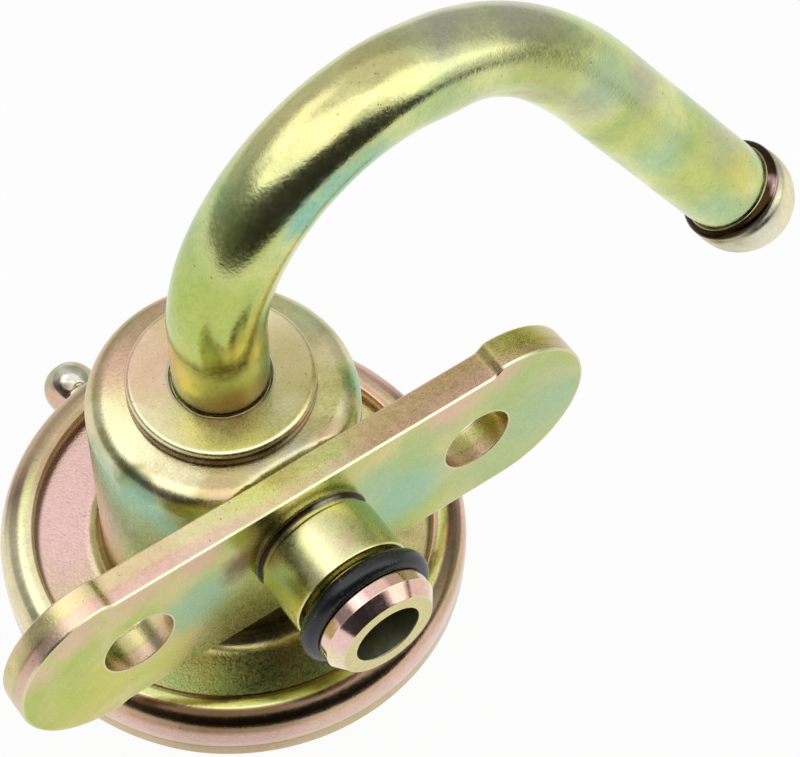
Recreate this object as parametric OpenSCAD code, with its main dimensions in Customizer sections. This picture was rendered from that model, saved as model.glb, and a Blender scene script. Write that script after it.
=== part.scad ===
// Fuel pressure regulator with a two-bolt plate, an O-ring inlet and a bent return pipe.
// Millimetres, +Z up along the can. The origin is midway between the bolt holes, on the plate's front
// face and on the inlet's axis. -Y points out of that face, +X runs along the plate.

/* [Mounting plate] */
// Length of the plate over its round ends
plate_l = 55; // [53:0.5:60]
// Height of the round ends
plate_h = 16.4; // [15.6:0.2:17.6]
// Thickness of the plate
plate_t = 3; // [2.6:0.1:3.4]
// How far the straight edges lie inside the round ends
waist_step = 0.4; // [0.2:0.1:0.8]
// How far the right-hand end stands above the bolt line
lobe_lift = 0.4; // [0:0.1:0.5]
// Distance between the bolt holes
bolt_spacing = 33.2; // [32:0.2:35]
// Bolt hole diameter, clear of an M6 screw
bolt_hole_d = 6.4; // [6.2:0.1:6.8]

/* [Inlet spigot] */
// Outer diameter of the spigot
spigot_d = 10.8; // [10.4:0.1:11.2]
// Length from the plate's face to the nose
spigot_l = 10.8; // [10.4:0.1:12]
// Inlet bore
spigot_bore_d = 6; // [5:0.1:6.6]
// Distance from the plate's face to the groove
groove_at = 5.9; // [5.6:0.1:6.2]
// Width of the O-ring groove
groove_w = 2.6; // [2.4:0.1:2.8]
// O-ring section
oring_cs = 1.9; // [1.8:0.05:2]
// Length of the lead-in chamfer on the nose
nose_chamfer = 0.85; // [0.5:0.05:1]

/* [Fuel can] */
// Outer diameter of the can
can_d = 22.7; // [22.2:0.1:23.2]
// Sheet thickness of the can
can_wall = 1.2; // [1:0.1:1.3]
// Height of the can's top above the bolt line
can_top_z = 6.8; // [6.4:0.1:7.4]
// Depth of the flange's top below the bolt line
flange_depth = 15.3; // [15:0.1:16]
// Radius of the shoulder
shoulder_r = 2.2; // [1.8:0.1:2.8]
// Radius of the blend from wall to flange
foot_r = 1.6; // [1.2:0.1:1.8]

/* [Spring cup] */
// Diameter over the rolled rim
rim_d = 40.7; // [40.2:0.1:41.4]
// How far the lip reaches in past the top of the roll
lip_reach = 0.4; // [0.3:0.05:0.8]
// Outer radius of the roll
roll_r = 2.7; // [2.5:0.1:2.8]
// Sheet thickness of the cup
cup_wall = 1.4; // [1.2:0.1:1.5]
// Outer diameter of the cup below its rim
cup_d = 27.2; // [26.6:0.1:27.6]
// Depth of the cup's floor below its rim
cup_h = 10.7; // [10.5:0.1:12]
// Outer radius round the cup's floor
floor_r = 2.6; // [2.2:0.1:2.8]

/* [Collar] */
// Outer diameter of the collar
collar_d = 15.6; // [15:0.1:16]
// Height of the collar above the can
collar_h = 1.8; // [1.6:0.1:2.4]
// Size of the chamfer round the collar's top
collar_chamfer = 0.42; // [0.3:0.02:0.5]
// Diameter of the collar's mouth, round the pipe
mouth_d = 8.9; // [8.8:0.05:9.2]
// Diameter of the stem inside the can
stem_d = 11.2; // [10.8:0.1:11.4]

/* [Return pipe] */
// Outer diameter of the pipe
tube_d = 8.1; // [7.8:0.05:8.2]
// Wall of the pipe
tube_wall = 1; // [0.8:0.05:1.1]
// Straight rise above the collar
tube_rise = 6.4; // [5:0.2:9]
// Centre-line radius of the first bend
bend1_r = 16.1; // [15:0.1:18]
// Angle of the first bend
bend1_angle = 105.4; // [95:0.2:112]
// Heading of the first bend, from +X towards +Y
bend1_turn = 5.3; // [-5:0.1:10]
// Straight between the bends
tube_mid = 1.5; // [1:0.1:4]
// Centre-line radius of the second bend
bend2_r = 24.5; // [22:0.1:26]
// Angle of the second bend
bend2_angle = 45.5; // [35:0.2:50]
// Roll between the planes of the two bends
bend2_roll = -28.8; // [-40:0.2:0]
// Straight from the second bend to the hose bead
tube_end = 18.6; // [16:0.1:24]
// Diameter of the hose bead
bead_d = 9.65; // [9.4:0.05:9.9]

/* [Vacuum nipple] */
// Outer diameter of the nipple
nipple_d = 4; // [3.8:0.1:4.2]
// Bore of the nipple
nipple_bore_d = 2.2; // [1.8:0.1:2.4]
// Diameter of the ball tip
ball_tip_d = 5.1; // [4.8:0.05:5.4]
// Distance of the ball tip from the can's axis
nipple_reach = 26.7; // [26:0.1:30]
// Depth of the nipple's axis below the bolt line
nipple_depth = 25.9; // [25.4:0.1:26.2]
// Turn of the nipple about the can's axis, from +Y towards -X
nipple_turn = 2.3; // [-10:0.1:10]

/* [Valve and springs] */
// Diameter of the valve ball
valve_ball_d = 3.6; // [3.4:0.1:3.7]
// Wire of the main spring
spring_wire = 1.5; // [1.3:0.1:1.6]
// Mean diameter of the main spring
spring_d = 12.8; // [12.4:0.2:13.2]
// Turns of the main spring
spring_turns = 4.5; // [4:0.5:5]

/* [Fits and clearances] */
// Gap between the closed valve disc and its seat, room for the disc to tilt
seat_gap = 0.06; // [0.05:0.01:0.1]
// Radial clearance of the ball in its holder
ball_gap = 0.05; // [0.03:0.01:0.08]
// Radial clearance of brazed joints
braze_gap = 0.05; // [0.03:0.01:0.08]

/* [Hidden] */
$fn = 96;
arc_steps = 14;
wire_sides = 10;
turn_steps = 20;

// Colours of the plated steel, bare steel, rubber and braze
chromate = [0.75, 0.72, 0.44];
chromate_pink = [0.80, 0.66, 0.56];
bare_steel = [0.66, 0.66, 0.68];
spring_steel = [0.42, 0.42, 0.45];
black_rubber = [0.06, 0.06, 0.07];
brown_rubber = [0.20, 0.16, 0.12];
braze_gold = [0.62, 0.52, 0.30];

// Overshoot of a cut past the face that it opens
cut = 1;

// Plate outline
lobe_r = plate_h / 2;
lobe_x = plate_l / 2 - lobe_r;
waist_h = plate_h - 2 * waist_step;

// Can: its axis stands behind the plate by the plate and the depth of the flat
can_r = can_d / 2;
flat_depth = 1.62;
axis_y = plate_t + can_r - flat_depth;
flange_z = -flange_depth;
flange_under_z = flange_z - can_wall;
flat_foot_z = -waist_h / 2 - waist_step;

// Rolled rim: the lip presses on the flange, so the roll's centre hangs below the flange's top
rim_r = rim_d / 2;
roll_c = [rim_r - roll_r, flange_z + cup_wall - roll_r];
lip_r = roll_c[0] - lip_reach;
lip_edge_r = lip_reach - braze_gap;
rim_in_r = rim_r - cup_wall;
flange_edge_r = can_wall;
flange_r = roll_c[0] + (roll_r - cup_wall) - braze_gap;
diaphragm_t = 1.6;
ledge_z = flange_under_z - diaphragm_t;
rim_foot_z = ledge_z - cup_wall;
rim_foot_r = 0.6;
crease_drop = 0.85;
crease_z = roll_c[1] - crease_drop;
crease_depth = 0.08;
cup_r = cup_d / 2;
cup_blend_r = 1.2;
cup_floor_z = rim_foot_z - cup_h;
cup_inside_z = cup_floor_z + cup_wall;

// Collar, its socket for the pipe and its stem with the valve seat
collar_r = collar_d / 2;
collar_top_z = can_top_z + collar_h;
stem_r = stem_d / 2;
tube_r = tube_d / 2;
tube_bore_r = tube_r - tube_wall;
mouth_r = mouth_d / 2;
mouth_depth = 0.9;
socket_depth = 7;
stem_end_z = -9;
seat_socket_r = 4.2;
seat_socket_depth = 2.5;
seat_flange_r = 4.9;
seat_flange_t = 0.8;
seat_bore_r = 1.7;
seat_nose_r = 2.4;
seat_face_z = -12;

// Bending draws the pipe's radius down a little, and each straight laps over the bend's end
draw_down = 0.005;
bend_lap = 0.3;

// Bead of the pipe: a short ramp, then a ball cut off square at the end
bead_r = bead_d / 2;
bead_centre = 3.55;
bead_ramp = 1.95;
bead_mouth_r = 3.2;
bead_len = bead_centre + sqrt(bead_r * bead_r - bead_mouth_r * bead_mouth_r);

// Spigot
spigot_r = spigot_d / 2;
spigot_bore_r = spigot_bore_d / 2;
spigot_tail_r = 4.5;
spigot_tail_past = 0.8;
spigot_tail_l = plate_t + can_wall + spigot_tail_past;
groove_depth = 1.2;
groove_r = spigot_r - groove_depth;
land_step = 0.25;
land_r = spigot_r - land_step;
nose_r = land_r - nose_chamfer;
spigot_edge = 0.25;
oring_r = groove_r + oring_cs / 2;
oring_gap = 0.05;
oring_at = groove_at + groove_w - oring_cs / 2 - oring_gap;
braze_leg = 0.9;

// Nipple
nipple_r = nipple_d / 2;
nipple_bore_r = nipple_bore_d / 2;
ball_tip_r = ball_tip_d / 2;
ball_tip_cut = 1.9;
nipple_inside = 0.6;
nipple_root = cup_r - cup_wall - nipple_inside;
nipple_braze_leg = 0.8;
spot_depth = 0.4;
spot_margin = 0.1;
spot_r = nipple_r + nipple_braze_leg + spot_margin;
spot_at = cup_r - spot_depth;

// Valve stack, from the disc down to the staked end
disc_r = 2.6;
disc_t = 0.7;
disc_top_z = seat_face_z - seat_gap;
disc_under_z = disc_top_z - disc_t;
ball_r = valve_ball_d / 2;
ball_flat = 1.3;
ball_z = disc_under_z - ball_flat;
holder_r = 4.4;
holder_over_ball = 1.05;
holder_top_z = ball_z + holder_over_ball;
retainer_t = 0.55;
retainer_r = 3;
retainer_hole_r = sqrt(ball_r * ball_r - pow(holder_top_z - retainer_t - ball_z, 2)) + ball_gap;
pocket_r = ball_r + ball_gap;
pocket_under_ball = 1.1;
pocket_z = ball_z - pocket_under_ball;
washer_r = 8;
washer_t = 0.8;
washer_top_z = flange_under_z + washer_t;
shank_r = 2.4;
shank_gap = 0.04;
spring_pocket_r = 1.4;
ball_spring_wire = 0.3;
ball_spring_r = 0.95;
ball_spring_turns = 3;
ball_spring_gap = 0.06;
ball_spring_h = 1.7;
ball_spring_top_z = ball_z - sqrt(ball_r * ball_r - ball_spring_r * ball_spring_r) - ball_spring_gap;
spring_pocket_z = ball_spring_top_z - ball_spring_h;

// Diaphragm: flat hub and rim with one round fold between them
hub_t = 0.7;
hub_under_z = flange_under_z - hub_t;
fold_r = 1.5;
fold_at = 10.2;
fold_root_angle = 14;

// Spring cup, staked under the hub, and the main spring below it
spring_cup_t = 0.8;
spring_cup_r = 8.2;
spring_cup_lip = 1.7;
spring_cup_under_z = hub_under_z - spring_cup_t;
stake_washer_r = 4.2;
stake_washer_t = 0.6;
stake_z = spring_cup_under_z - stake_washer_t;
stake_r = 3;
stake_t = 0.5;
spring_base_t = 0.8;
spring_base_r = 9.4;
spring_base_boss_r = 4.9;
spring_base_boss_h = 1.5;
spring_base_z = cup_inside_z + spring_base_t;
spring_r = spring_d / 2;
spring_seat_gap = 0.02;
closed_pitch = 1.03;

// Points of an arc about c from angle a0 to a1
function arc(c, r, a0, a1) =
    [for (i = [0:arc_steps])
        let (a = a0 + (a1 - a0) * i / arc_steps)
            [c[0] + r * cos(a), c[1] + r * sin(a)]];

// Height along a coil with one closed turn at each end, t counted in turns
function coil_z(t, turns, h, wire) =
    let (closed = closed_pitch * wire, pitch = (h - wire - 2 * closed) / (turns - 2))
        wire / 2 + (t < 1 ? t * closed
            : t > turns - 1 ? h - wire - (turns - t) * closed
            : closed + (t - 1) * pitch);

// Stands its children on the can's axis
module on_axis() {
    translate([0, axis_y, 0]) children();
}

// Turns a profile drawn as radius and height about the can's axis
module turned(points) {
    on_axis() rotate_extrude() polygon(points);
}

// Lays the Z axis of its children along the spigot, out of the plate's face
module on_spigot() {
    rotate([90, 0, 0]) children();
}

// Lays the Z axis of its children along the nipple, out from the can's axis
module on_nipple() {
    translate([0, axis_y, -nipple_depth]) rotate([0, 0, nipple_turn]) rotate([-90, 0, 0]) children();
}

// Prism in front of a flat at y, used to flatten the can towards the plate
module front_of(y) {
    reach = flat_depth + cut;
    rotate([90, 0, 90])
        linear_extrude(2 * can_d, center = true)
            polygon([[y, collar_top_z], [y - reach, collar_top_z],
                [y - reach, flat_foot_z - reach], [y, flat_foot_z]]);
}

// Solid rod that starts along +Z and bends towards +X
module bent_rod(bend_r, angle, r) {
    translate([bend_r, 0, 0])
        rotate([90, 0, 180])
            rotate_extrude(angle = angle) translate([bend_r, 0]) circle(r);
}

// Places its children where a bend ends, with +Z along the pipe
module past_bend(r, angle) {
    translate([r, 0, 0]) rotate([0, angle, 0]) translate([-r, 0, 0]) children();
}

// Wire coil on +Z from 0 to h, swept along its helix
module coil(mean_r, wire, turns, h) {
    rings = round(turns * turn_steps);
    path = [for (i = [0:rings])
        let (t = i / turn_steps)
            [mean_r * cos(360 * t), mean_r * sin(360 * t), coil_z(t, turns, h, wire)]];
    points = [for (i = [0:rings]) for (k = [0:wire_sides - 1])
        let (a = 360 * i / turn_steps, b = 360 * k / wire_sides)
            path[i] + wire / 2 * [cos(b) * cos(a), cos(b) * sin(a), sin(b)]];
    skin = [for (i = [0:rings - 1]) for (k = [0:wire_sides - 1])
        let (n = (k + 1) % wire_sides, low = i * wire_sides, high = low + wire_sides)
            [low + k, low + n, high + n, high + k]];
    first = [for (k = [wire_sides - 1:-1:0]) k];
    last = [for (k = [0:wire_sides - 1]) rings * wire_sides + k];
    polyhedron(points, concat(skin, [first, last]), convexity = 10);
}

// Fuel chamber: the drawn shell, flattened where the plate meets it, with holes for stem and spigot
module upper_can() {
    shell_out = concat([[0, can_top_z]],
        arc([can_r - shoulder_r, can_top_z - shoulder_r], shoulder_r, 90, 0),
        arc([can_r + foot_r, flange_z + foot_r], foot_r, 180, 270),
        arc([flange_r - flange_edge_r, flange_under_z], flange_edge_r, 90, 0),
        [[0, flange_under_z]]);
    shell_in = concat([[0, can_top_z - can_wall]],
        arc([can_r - shoulder_r, can_top_z - shoulder_r], shoulder_r - can_wall, 90, 0),
        arc([can_r + foot_r, flange_z + foot_r], foot_r + can_wall, 180, 270),
        [[can_r + foot_r, flange_under_z - cut], [0, flange_under_z - cut]]);
    color(chromate) difference() {
        turned(shell_out);
        front_of(plate_t);
        difference() {
            turned(shell_in);
            front_of(plate_t + can_wall);
        }
        on_axis() cylinder(h = collar_top_z, r = stem_r + braze_gap);
        on_spigot() translate([0, 0, -spigot_tail_l])
            cylinder(h = spigot_tail_l, r = spigot_tail_r + braze_gap);
    }
}

// Spring chamber: one sheet from the lip, round the roll and the rim's foot, down to the floor
module lower_cup() {
    lip_c = [lip_r + lip_edge_r, roll_c[1] + roll_r - lip_edge_r];
    blend_c = [cup_r + cup_blend_r, rim_foot_z - cup_blend_r];
    floor_c = [cup_r - floor_r, cup_floor_z + floor_r];
    outside = concat([[lip_r, flange_z]],
        arc(lip_c, lip_edge_r, 180, 90),
        arc(roll_c, roll_r, 90, 0),
        [[rim_r, crease_z], [rim_r - crease_depth, crease_z - crease_depth]],
        arc([rim_r - crease_depth - rim_foot_r, rim_foot_z + rim_foot_r], rim_foot_r, 0, -90),
        arc(blend_c, cup_blend_r, 90, 180),
        arc(floor_c, floor_r, 0, -90),
        [[0, cup_floor_z]]);
    inside = concat([[0, cup_inside_z]],
        arc(floor_c, floor_r - cup_wall, -90, 0),
        arc(blend_c, cup_blend_r + cup_wall, 180, 90),
        [[rim_in_r, ledge_z]],
        arc(roll_c, roll_r - cup_wall, 0, 90));
    color(chromate) difference() {
        turned(concat(outside, inside));
        on_nipple() cylinder(h = cup_r + cut, r = nipple_r + braze_gap);
        on_nipple() translate([0, 0, spot_at]) cylinder(h = spot_depth + cut, r = spot_r);
    }
}

// Turned collar with a long stem: the pipe sits in its socket, the seat in its lower end
module pipe_collar() {
    body = [[0, stem_end_z], [stem_r, stem_end_z], [stem_r, can_top_z], [collar_r, can_top_z],
        [collar_r, collar_top_z - collar_chamfer], [collar_r - collar_chamfer, collar_top_z],
        [0, collar_top_z]];
    color(chromate) difference() {
        turned(body);
        on_axis() {
            translate([0, 0, stem_end_z - cut])
                cylinder(h = collar_top_z - stem_end_z + 2 * cut, r = tube_bore_r);
            translate([0, 0, collar_top_z - socket_depth])
                cylinder(h = socket_depth + cut, r = tube_r + braze_gap);
            translate([0, 0, collar_top_z - mouth_depth]) cylinder(h = mouth_depth + cut, r = mouth_r);
            translate([0, 0, stem_end_z - cut]) cylinder(h = seat_socket_depth + cut, r = seat_socket_r);
        }
    }
}

// Hose end of the pipe: a ramp up to a ball that is cut off square
module hose_bead() {
    ramp_angle = asin((bead_ramp - bead_centre) / bead_r);
    mouth_angle = acos(bead_mouth_r / bead_r);
    outline = concat([[0, 0], [tube_r, 0]],
        arc([0, bead_centre], bead_r, ramp_angle, mouth_angle),
        [[0, bead_len]]);
    rotate_extrude() polygon(outline);
}

// Straight rod along +Z that laps over the bends at its ends
module straight_rod(length, r, lap_before, lap_after) {
    translate([0, 0, -lap_before]) cylinder(h = length + lap_before + lap_after, r = r);
}

// Rod of radius r along the pipe's route, which its children follow at the far end
module along_route(r) {
    straight_rod(tube_rise, r, socket_depth, bend_lap);
    translate([0, 0, tube_rise]) rotate([0, 0, bend1_turn]) {
        bent_rod(bend1_r, bend1_angle, r - draw_down);
        past_bend(bend1_r, bend1_angle) {
            straight_rod(tube_mid, r, bend_lap, bend_lap);
            translate([0, 0, tube_mid]) rotate([0, 0, bend2_roll]) {
                bent_rod(bend2_r, bend2_angle, r - draw_down);
                past_bend(bend2_r, bend2_angle) {
                    straight_rod(tube_end, r, bend_lap, 0);
                    translate([0, 0, tube_end]) children();
                }
            }
        }
    }
}

// Return pipe from the collar's socket, over two bends, to the hose bead
module return_tube() {
    color(chromate) on_axis() translate([0, 0, collar_top_z]) difference() {
        along_route(tube_r) hose_bead();
        along_route(tube_bore_r) cylinder(h = bead_len + cut, r = tube_bore_r);
    }
}

// Braze in the collar's mouth, dished below the collar's top
module tube_braze() {
    low = collar_top_z - mouth_depth;
    dish = 0.3;
    ring = [[tube_r, low], [mouth_r, low], [mouth_r, collar_top_z - dish / 2],
        [(mouth_r + tube_r) / 2, collar_top_z - dish], [tube_r, collar_top_z - dish / 2]];
    color(braze_gold) turned(ring);
}

// Stamped plate with round ends and a slightly narrower straight waist
module plate_outline() {
    square([2 * lobe_x, waist_h], center = true);
    for (side = [-1, 1]) {
        translate([side * lobe_x, side > 0 ? lobe_lift : 0]) intersection() {
            circle(lobe_r);
            translate([side * lobe_r / 2, 0]) square([lobe_r, plate_h], center = true);
        }
    }
}

// Two-bolt plate with a middle hole for the spigot's tail
module mounting_plate() {
    color(chromate_pink) on_spigot() translate([0, 0, -plate_t]) difference() {
        linear_extrude(plate_t) plate_outline();
        for (side = [-1, 1]) {
            translate([side * bolt_spacing / 2, 0, -cut])
                cylinder(h = plate_t + 2 * cut, d = bolt_hole_d);
        }
        translate([0, 0, -cut]) cylinder(h = plate_t + 2 * cut, r = spigot_tail_r + braze_gap);
    }
}

// Turned inlet: tail through plate and can, barrel, O-ring groove, land and chamfered nose
module inlet_spigot() {
    groove_end = groove_at + groove_w;
    profile = [[0, -spigot_tail_l], [spigot_tail_r, -spigot_tail_l], [spigot_tail_r, 0], [spigot_r, 0],
        [spigot_r, groove_at - spigot_edge], [spigot_r - spigot_edge, groove_at],
        [groove_r, groove_at], [groove_r, groove_end], [land_r, groove_end],
        [land_r, spigot_l - nose_chamfer], [nose_r, spigot_l], [0, spigot_l]];
    color(chromate) on_spigot() difference() {
        rotate_extrude() polygon(profile);
        translate([0, 0, -spigot_tail_l - cut])
            cylinder(h = spigot_tail_l + spigot_l + 2 * cut, r = spigot_bore_r);
    }
}

// Concave ring of braze round a post of radius r that stands on a flat
module braze_fillet(r, leg) {
    rotate_extrude() polygon(concat([[r, 0]], arc([r + leg, leg], leg, 270, 180)));
}

// Braze round the foot of the spigot
module spigot_braze() {
    color(braze_gold) on_spigot() braze_fillet(spigot_r, braze_leg);
}

// Rubber ring on the floor of the groove, against its outer side
module o_ring() {
    color(black_rubber) on_spigot() translate([0, 0, oring_at]) rotate_extrude()
        translate([oring_r, 0]) circle(d = oring_cs);
}

// Hose nipple with a ball tip, through the wall of the spring cup
module vacuum_nipple() {
    color(chromate) on_nipple() difference() {
        union() {
            translate([0, 0, nipple_root]) cylinder(h = nipple_reach - nipple_root, r = nipple_r);
            translate([0, 0, nipple_reach]) sphere(ball_tip_r);
        }
        translate([0, 0, nipple_reach + ball_tip_cut]) cylinder(h = ball_tip_d, r = ball_tip_d);
        cylinder(h = nipple_reach + ball_tip_d, r = nipple_bore_r);
    }
}

// Braze round the nipple, on the flat spot of the cup's wall
module nipple_braze() {
    color(braze_gold) on_nipple() translate([0, 0, spot_at]) braze_fillet(nipple_r, nipple_braze_leg);
}

// Hardened seat: a plug in the stem, a flange against its end and a narrow nose for the disc
module valve_seat() {
    top = stem_end_z + seat_socket_depth;
    flange_low = stem_end_z - seat_flange_t;
    body = [[seat_bore_r, top], [seat_socket_r, top], [seat_socket_r, stem_end_z],
        [seat_flange_r, stem_end_z], [seat_flange_r, flange_low], [seat_nose_r, flange_low],
        [seat_nose_r, seat_face_z], [seat_bore_r, seat_face_z]];
    color(bare_steel) turned(body);
}

// Rubberised fabric: the rim is clamped, the fold lets the hub move
module diaphragm() {
    fold_c = [fold_at, hub_under_z + hub_t / 2];
    outer = fold_r + hub_t / 2;
    inner = fold_r - hub_t / 2;
    upper = concat([[shank_r + shank_gap, flange_under_z], [fold_at - inner, flange_under_z]],
        arc(fold_c, inner, 180, 360),
        [[fold_at + inner, flange_under_z], [rim_in_r - braze_gap, flange_under_z]]);
    clamp_r = cup_r + cup_blend_r;
    lower = concat([[rim_in_r - braze_gap, ledge_z], [clamp_r, ledge_z], [fold_at + outer, hub_under_z]],
        arc(fold_c, outer, 360 - fold_root_angle, 180 + fold_root_angle),
        [[fold_at - outer, hub_under_z], [shank_r + shank_gap, hub_under_z]]);
    color(brown_rubber) turned(concat(upper, lower));
}

// Flat ring about the can's axis
module ring_plate(r_in, r_out, z_low, t) {
    on_axis() translate([0, 0, z_low]) difference() {
        cylinder(h = t, r = r_out);
        translate([0, 0, -cut]) cylinder(h = t + 2 * cut, r = r_in);
    }
}

// Support washer on the fuel side of the diaphragm
module diaphragm_washer() {
    color(bare_steel) ring_plate(shank_r + shank_gap, washer_r, flange_under_z, washer_t);
}

// Stamped cup under the hub that keeps the main spring in the middle
module spring_cup() {
    lip_in = spring_cup_r - spring_cup_t;
    low = spring_cup_under_z - spring_cup_lip;
    hole = shank_r + shank_gap;
    section = [[hole, hub_under_z], [spring_cup_r, hub_under_z], [spring_cup_r, low], [lip_in, low],
        [lip_in, spring_cup_under_z], [hole, spring_cup_under_z]];
    color(bare_steel) turned(section);
}

// Washer that takes the staking of the holder
module stake_washer() {
    color(bare_steel) ring_plate(shank_r + shank_gap, stake_washer_r, stake_z, stake_washer_t);
}

// Hub: a head with the ball's pocket, a shank through the stack and a staked end
module valve_holder() {
    body = [[0, washer_top_z], [holder_r, washer_top_z], [holder_r, holder_top_z], [0, holder_top_z]];
    shank = [[0, washer_top_z], [shank_r, washer_top_z], [shank_r, stake_z], [stake_r, stake_z],
        [stake_r, stake_z - stake_t], [0, stake_z - stake_t]];
    color(bare_steel) difference() {
        union() {
            turned(body);
            turned(shank);
        }
        on_axis() {
            translate([0, 0, holder_top_z - retainer_t]) cylinder(h = retainer_t + cut, r = retainer_r);
            translate([0, 0, pocket_z]) cylinder(h = holder_top_z - pocket_z, r = pocket_r);
            translate([0, 0, spring_pocket_z])
                cylinder(h = pocket_z - spring_pocket_z + cut, r = spring_pocket_r);
        }
    }
}

// Small spring that keeps the ball against its retainer
module ball_spring() {
    color(spring_steel) on_axis() translate([0, 0, spring_pocket_z])
        coil(ball_spring_r, ball_spring_wire, ball_spring_turns, ball_spring_h);
}

// Ball with a flat on top for the disc
module valve_ball() {
    color(bare_steel) on_axis() translate([0, 0, ball_z]) difference() {
        sphere(ball_r);
        translate([0, 0, ball_flat]) cylinder(h = ball_r, r = ball_r);
    }
}

// Disc that closes the seat
module valve_disc() {
    color(bare_steel) on_axis() translate([0, 0, disc_under_z]) cylinder(h = disc_t, r = disc_r);
}

// Ring pressed into the head, narrower than the ball
module ball_retainer() {
    color(bare_steel) ring_plate(retainer_hole_r, retainer_r, holder_top_z - retainer_t, retainer_t);
}

// Main spring between the spring cup and its base
module main_spring() {
    height = spring_cup_under_z - spring_base_z - 2 * spring_seat_gap;
    color(spring_steel) on_axis() translate([0, 0, spring_base_z + spring_seat_gap])
        coil(spring_r, spring_wire, spring_turns, height);
}

// Stamped seat on the cup's floor with a boss inside the spring
module spring_base() {
    boss_in = spring_base_boss_r - spring_base_t;
    boss_top = spring_base_z + spring_base_boss_h;
    section = [[0, boss_top], [spring_base_boss_r, boss_top], [spring_base_boss_r, spring_base_z],
        [spring_base_r, spring_base_z], [spring_base_r, cup_inside_z], [boss_in, cup_inside_z],
        [boss_in, boss_top - spring_base_t], [0, boss_top - spring_base_t]];
    color(bare_steel) turned(section);
}

upper_can();
lower_cup();
pipe_collar();
return_tube();
tube_braze();
mounting_plate();
inlet_spigot();
spigot_braze();
o_ring();
vacuum_nipple();
nipple_braze();
valve_seat();
diaphragm();
diaphragm_washer();
spring_cup();
stake_washer();
valve_holder();
ball_spring();
valve_ball();
valve_disc();
ball_retainer();
main_spring();
spring_base();
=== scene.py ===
"""Fuel pressure regulator in yellow chromate plated steel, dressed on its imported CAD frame."""
import math

import bmesh
import bpy
import numpy as np
from mathutils import Matrix, Vector, noise
from mathutils.geometry import delaunay_2d_cdt


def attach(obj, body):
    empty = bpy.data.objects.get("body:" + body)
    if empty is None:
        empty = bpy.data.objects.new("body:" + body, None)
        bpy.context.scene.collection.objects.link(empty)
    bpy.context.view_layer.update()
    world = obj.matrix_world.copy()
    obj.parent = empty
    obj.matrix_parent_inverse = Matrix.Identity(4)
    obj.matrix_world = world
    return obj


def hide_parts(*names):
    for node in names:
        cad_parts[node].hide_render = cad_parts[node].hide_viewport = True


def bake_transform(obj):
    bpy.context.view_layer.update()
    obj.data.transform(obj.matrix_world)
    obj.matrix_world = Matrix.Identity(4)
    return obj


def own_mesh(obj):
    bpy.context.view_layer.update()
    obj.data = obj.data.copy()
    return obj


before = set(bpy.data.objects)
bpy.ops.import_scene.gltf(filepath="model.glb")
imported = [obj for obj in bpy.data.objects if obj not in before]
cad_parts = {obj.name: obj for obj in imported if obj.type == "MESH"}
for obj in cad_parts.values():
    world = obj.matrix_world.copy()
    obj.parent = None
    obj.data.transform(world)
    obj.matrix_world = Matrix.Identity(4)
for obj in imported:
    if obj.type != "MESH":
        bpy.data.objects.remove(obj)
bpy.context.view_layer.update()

# Lengths are in millimetres, and the origin is the middle of the plate's front face
MM = 0.001
AXIS_Y = 12.73      # the can's axis stands this far behind the plate's face
TURNS = 224         # steps round a turned piece
ON_AXIS = 1e-4      # a section's point nearer its axis than this is one point, not a ring
WELD = 1e-7         # points nearer than this are one, in metres


def linear(hex_colour):
    """sRGB hex to linear RGBA."""
    parts = [int(hex_colour[i:i + 2], 16) / 255 for i in (1, 3, 5)]
    return tuple(c / 12.92 if c <= 0.04045 else ((c + 0.055) / 1.055) ** 2.4 for c in parts) + (1.0,)


def add(tree, kind, inputs=None, stops=None, **settings):
    """Adds one shader node with its settings, values, links and colour stops, and gives its outputs."""
    node = tree.nodes.new("ShaderNode" + kind)
    for key, value in settings.items():
        setattr(node, key, value)
    for key, value in (inputs or {}).items():
        if isinstance(value, bpy.types.NodeSocket):
            tree.links.new(value, node.inputs[key])
        else:
            node.inputs[key].default_value = value
    if stops:
        ramp = node.color_ramp
        while len(ramp.elements) < len(stops):
            ramp.elements.new(1.0)
        for element, (place, colour) in zip(ramp.elements, stops):
            element.position = place
            element.color = linear(colour)
    return node.outputs


# Shapes

HOLD, HOLD_SHARE = 0.1, 0.1     # a point holds a flat this far from its fillet, or this share of a short flat


def arc(centre, r, a0, a1, steps):
    """Points of an arc in a turned piece's section, radius and height."""
    angles = [math.radians(a0 + (a1 - a0) * i / steps) for i in range(steps + 1)]
    return [(centre[0] + r * math.cos(a), centre[1] + r * math.sin(a)) for a in angles]


def filleted(corners, steps):
    """Closed section from corners (radius, height, fillet), its flats held flat up to the fillets."""
    points = []
    for i, (x, y, r) in enumerate(corners):
        here = Vector((x, y))
        before = Vector(corners[i - 1][:2]) - here
        after = Vector(corners[(i + 1) % len(corners)][:2]) - here
        if r <= 0:
            points.append(here)
            continue
        u, v = before.normalized(), after.normalized()
        half = u.angle(v) / 2
        run = r / math.tan(half)
        centre = here + (u + v).normalized() * (r / math.sin(half))
        a, b = here + u * run - centre, here + v * run - centre
        sweep = math.pi - 2 * half
        turn = 1 if a.x * b.y - a.y * b.x > 0 else -1
        points.append(here + u * (run + min(HOLD, before.length * HOLD_SHARE)))
        for k in range(steps + 1):
            t = turn * sweep * k / steps
            cos, sin = math.cos(t), math.sin(t)
            points.append(centre + Vector((a.x * cos - a.y * sin, a.x * sin + a.y * cos)))
        points.append(here + v * (run + min(HOLD, after.length * HOLD_SHARE)))
    return [(p.x, p.y) for p in points]


def on_can(r, a, h):
    """Place on the can's upright axis."""
    return Vector((r * math.cos(a), AXIS_Y + r * math.sin(a), h))


def on_spigot(r, a, h):
    """Place on the inlet's axis, out of the plate's face."""
    return Vector((r * math.cos(a), -h, r * math.sin(a)))


NIPPLE_TURN = math.radians(2.3)
NIPPLE_Z = -25.9


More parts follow.
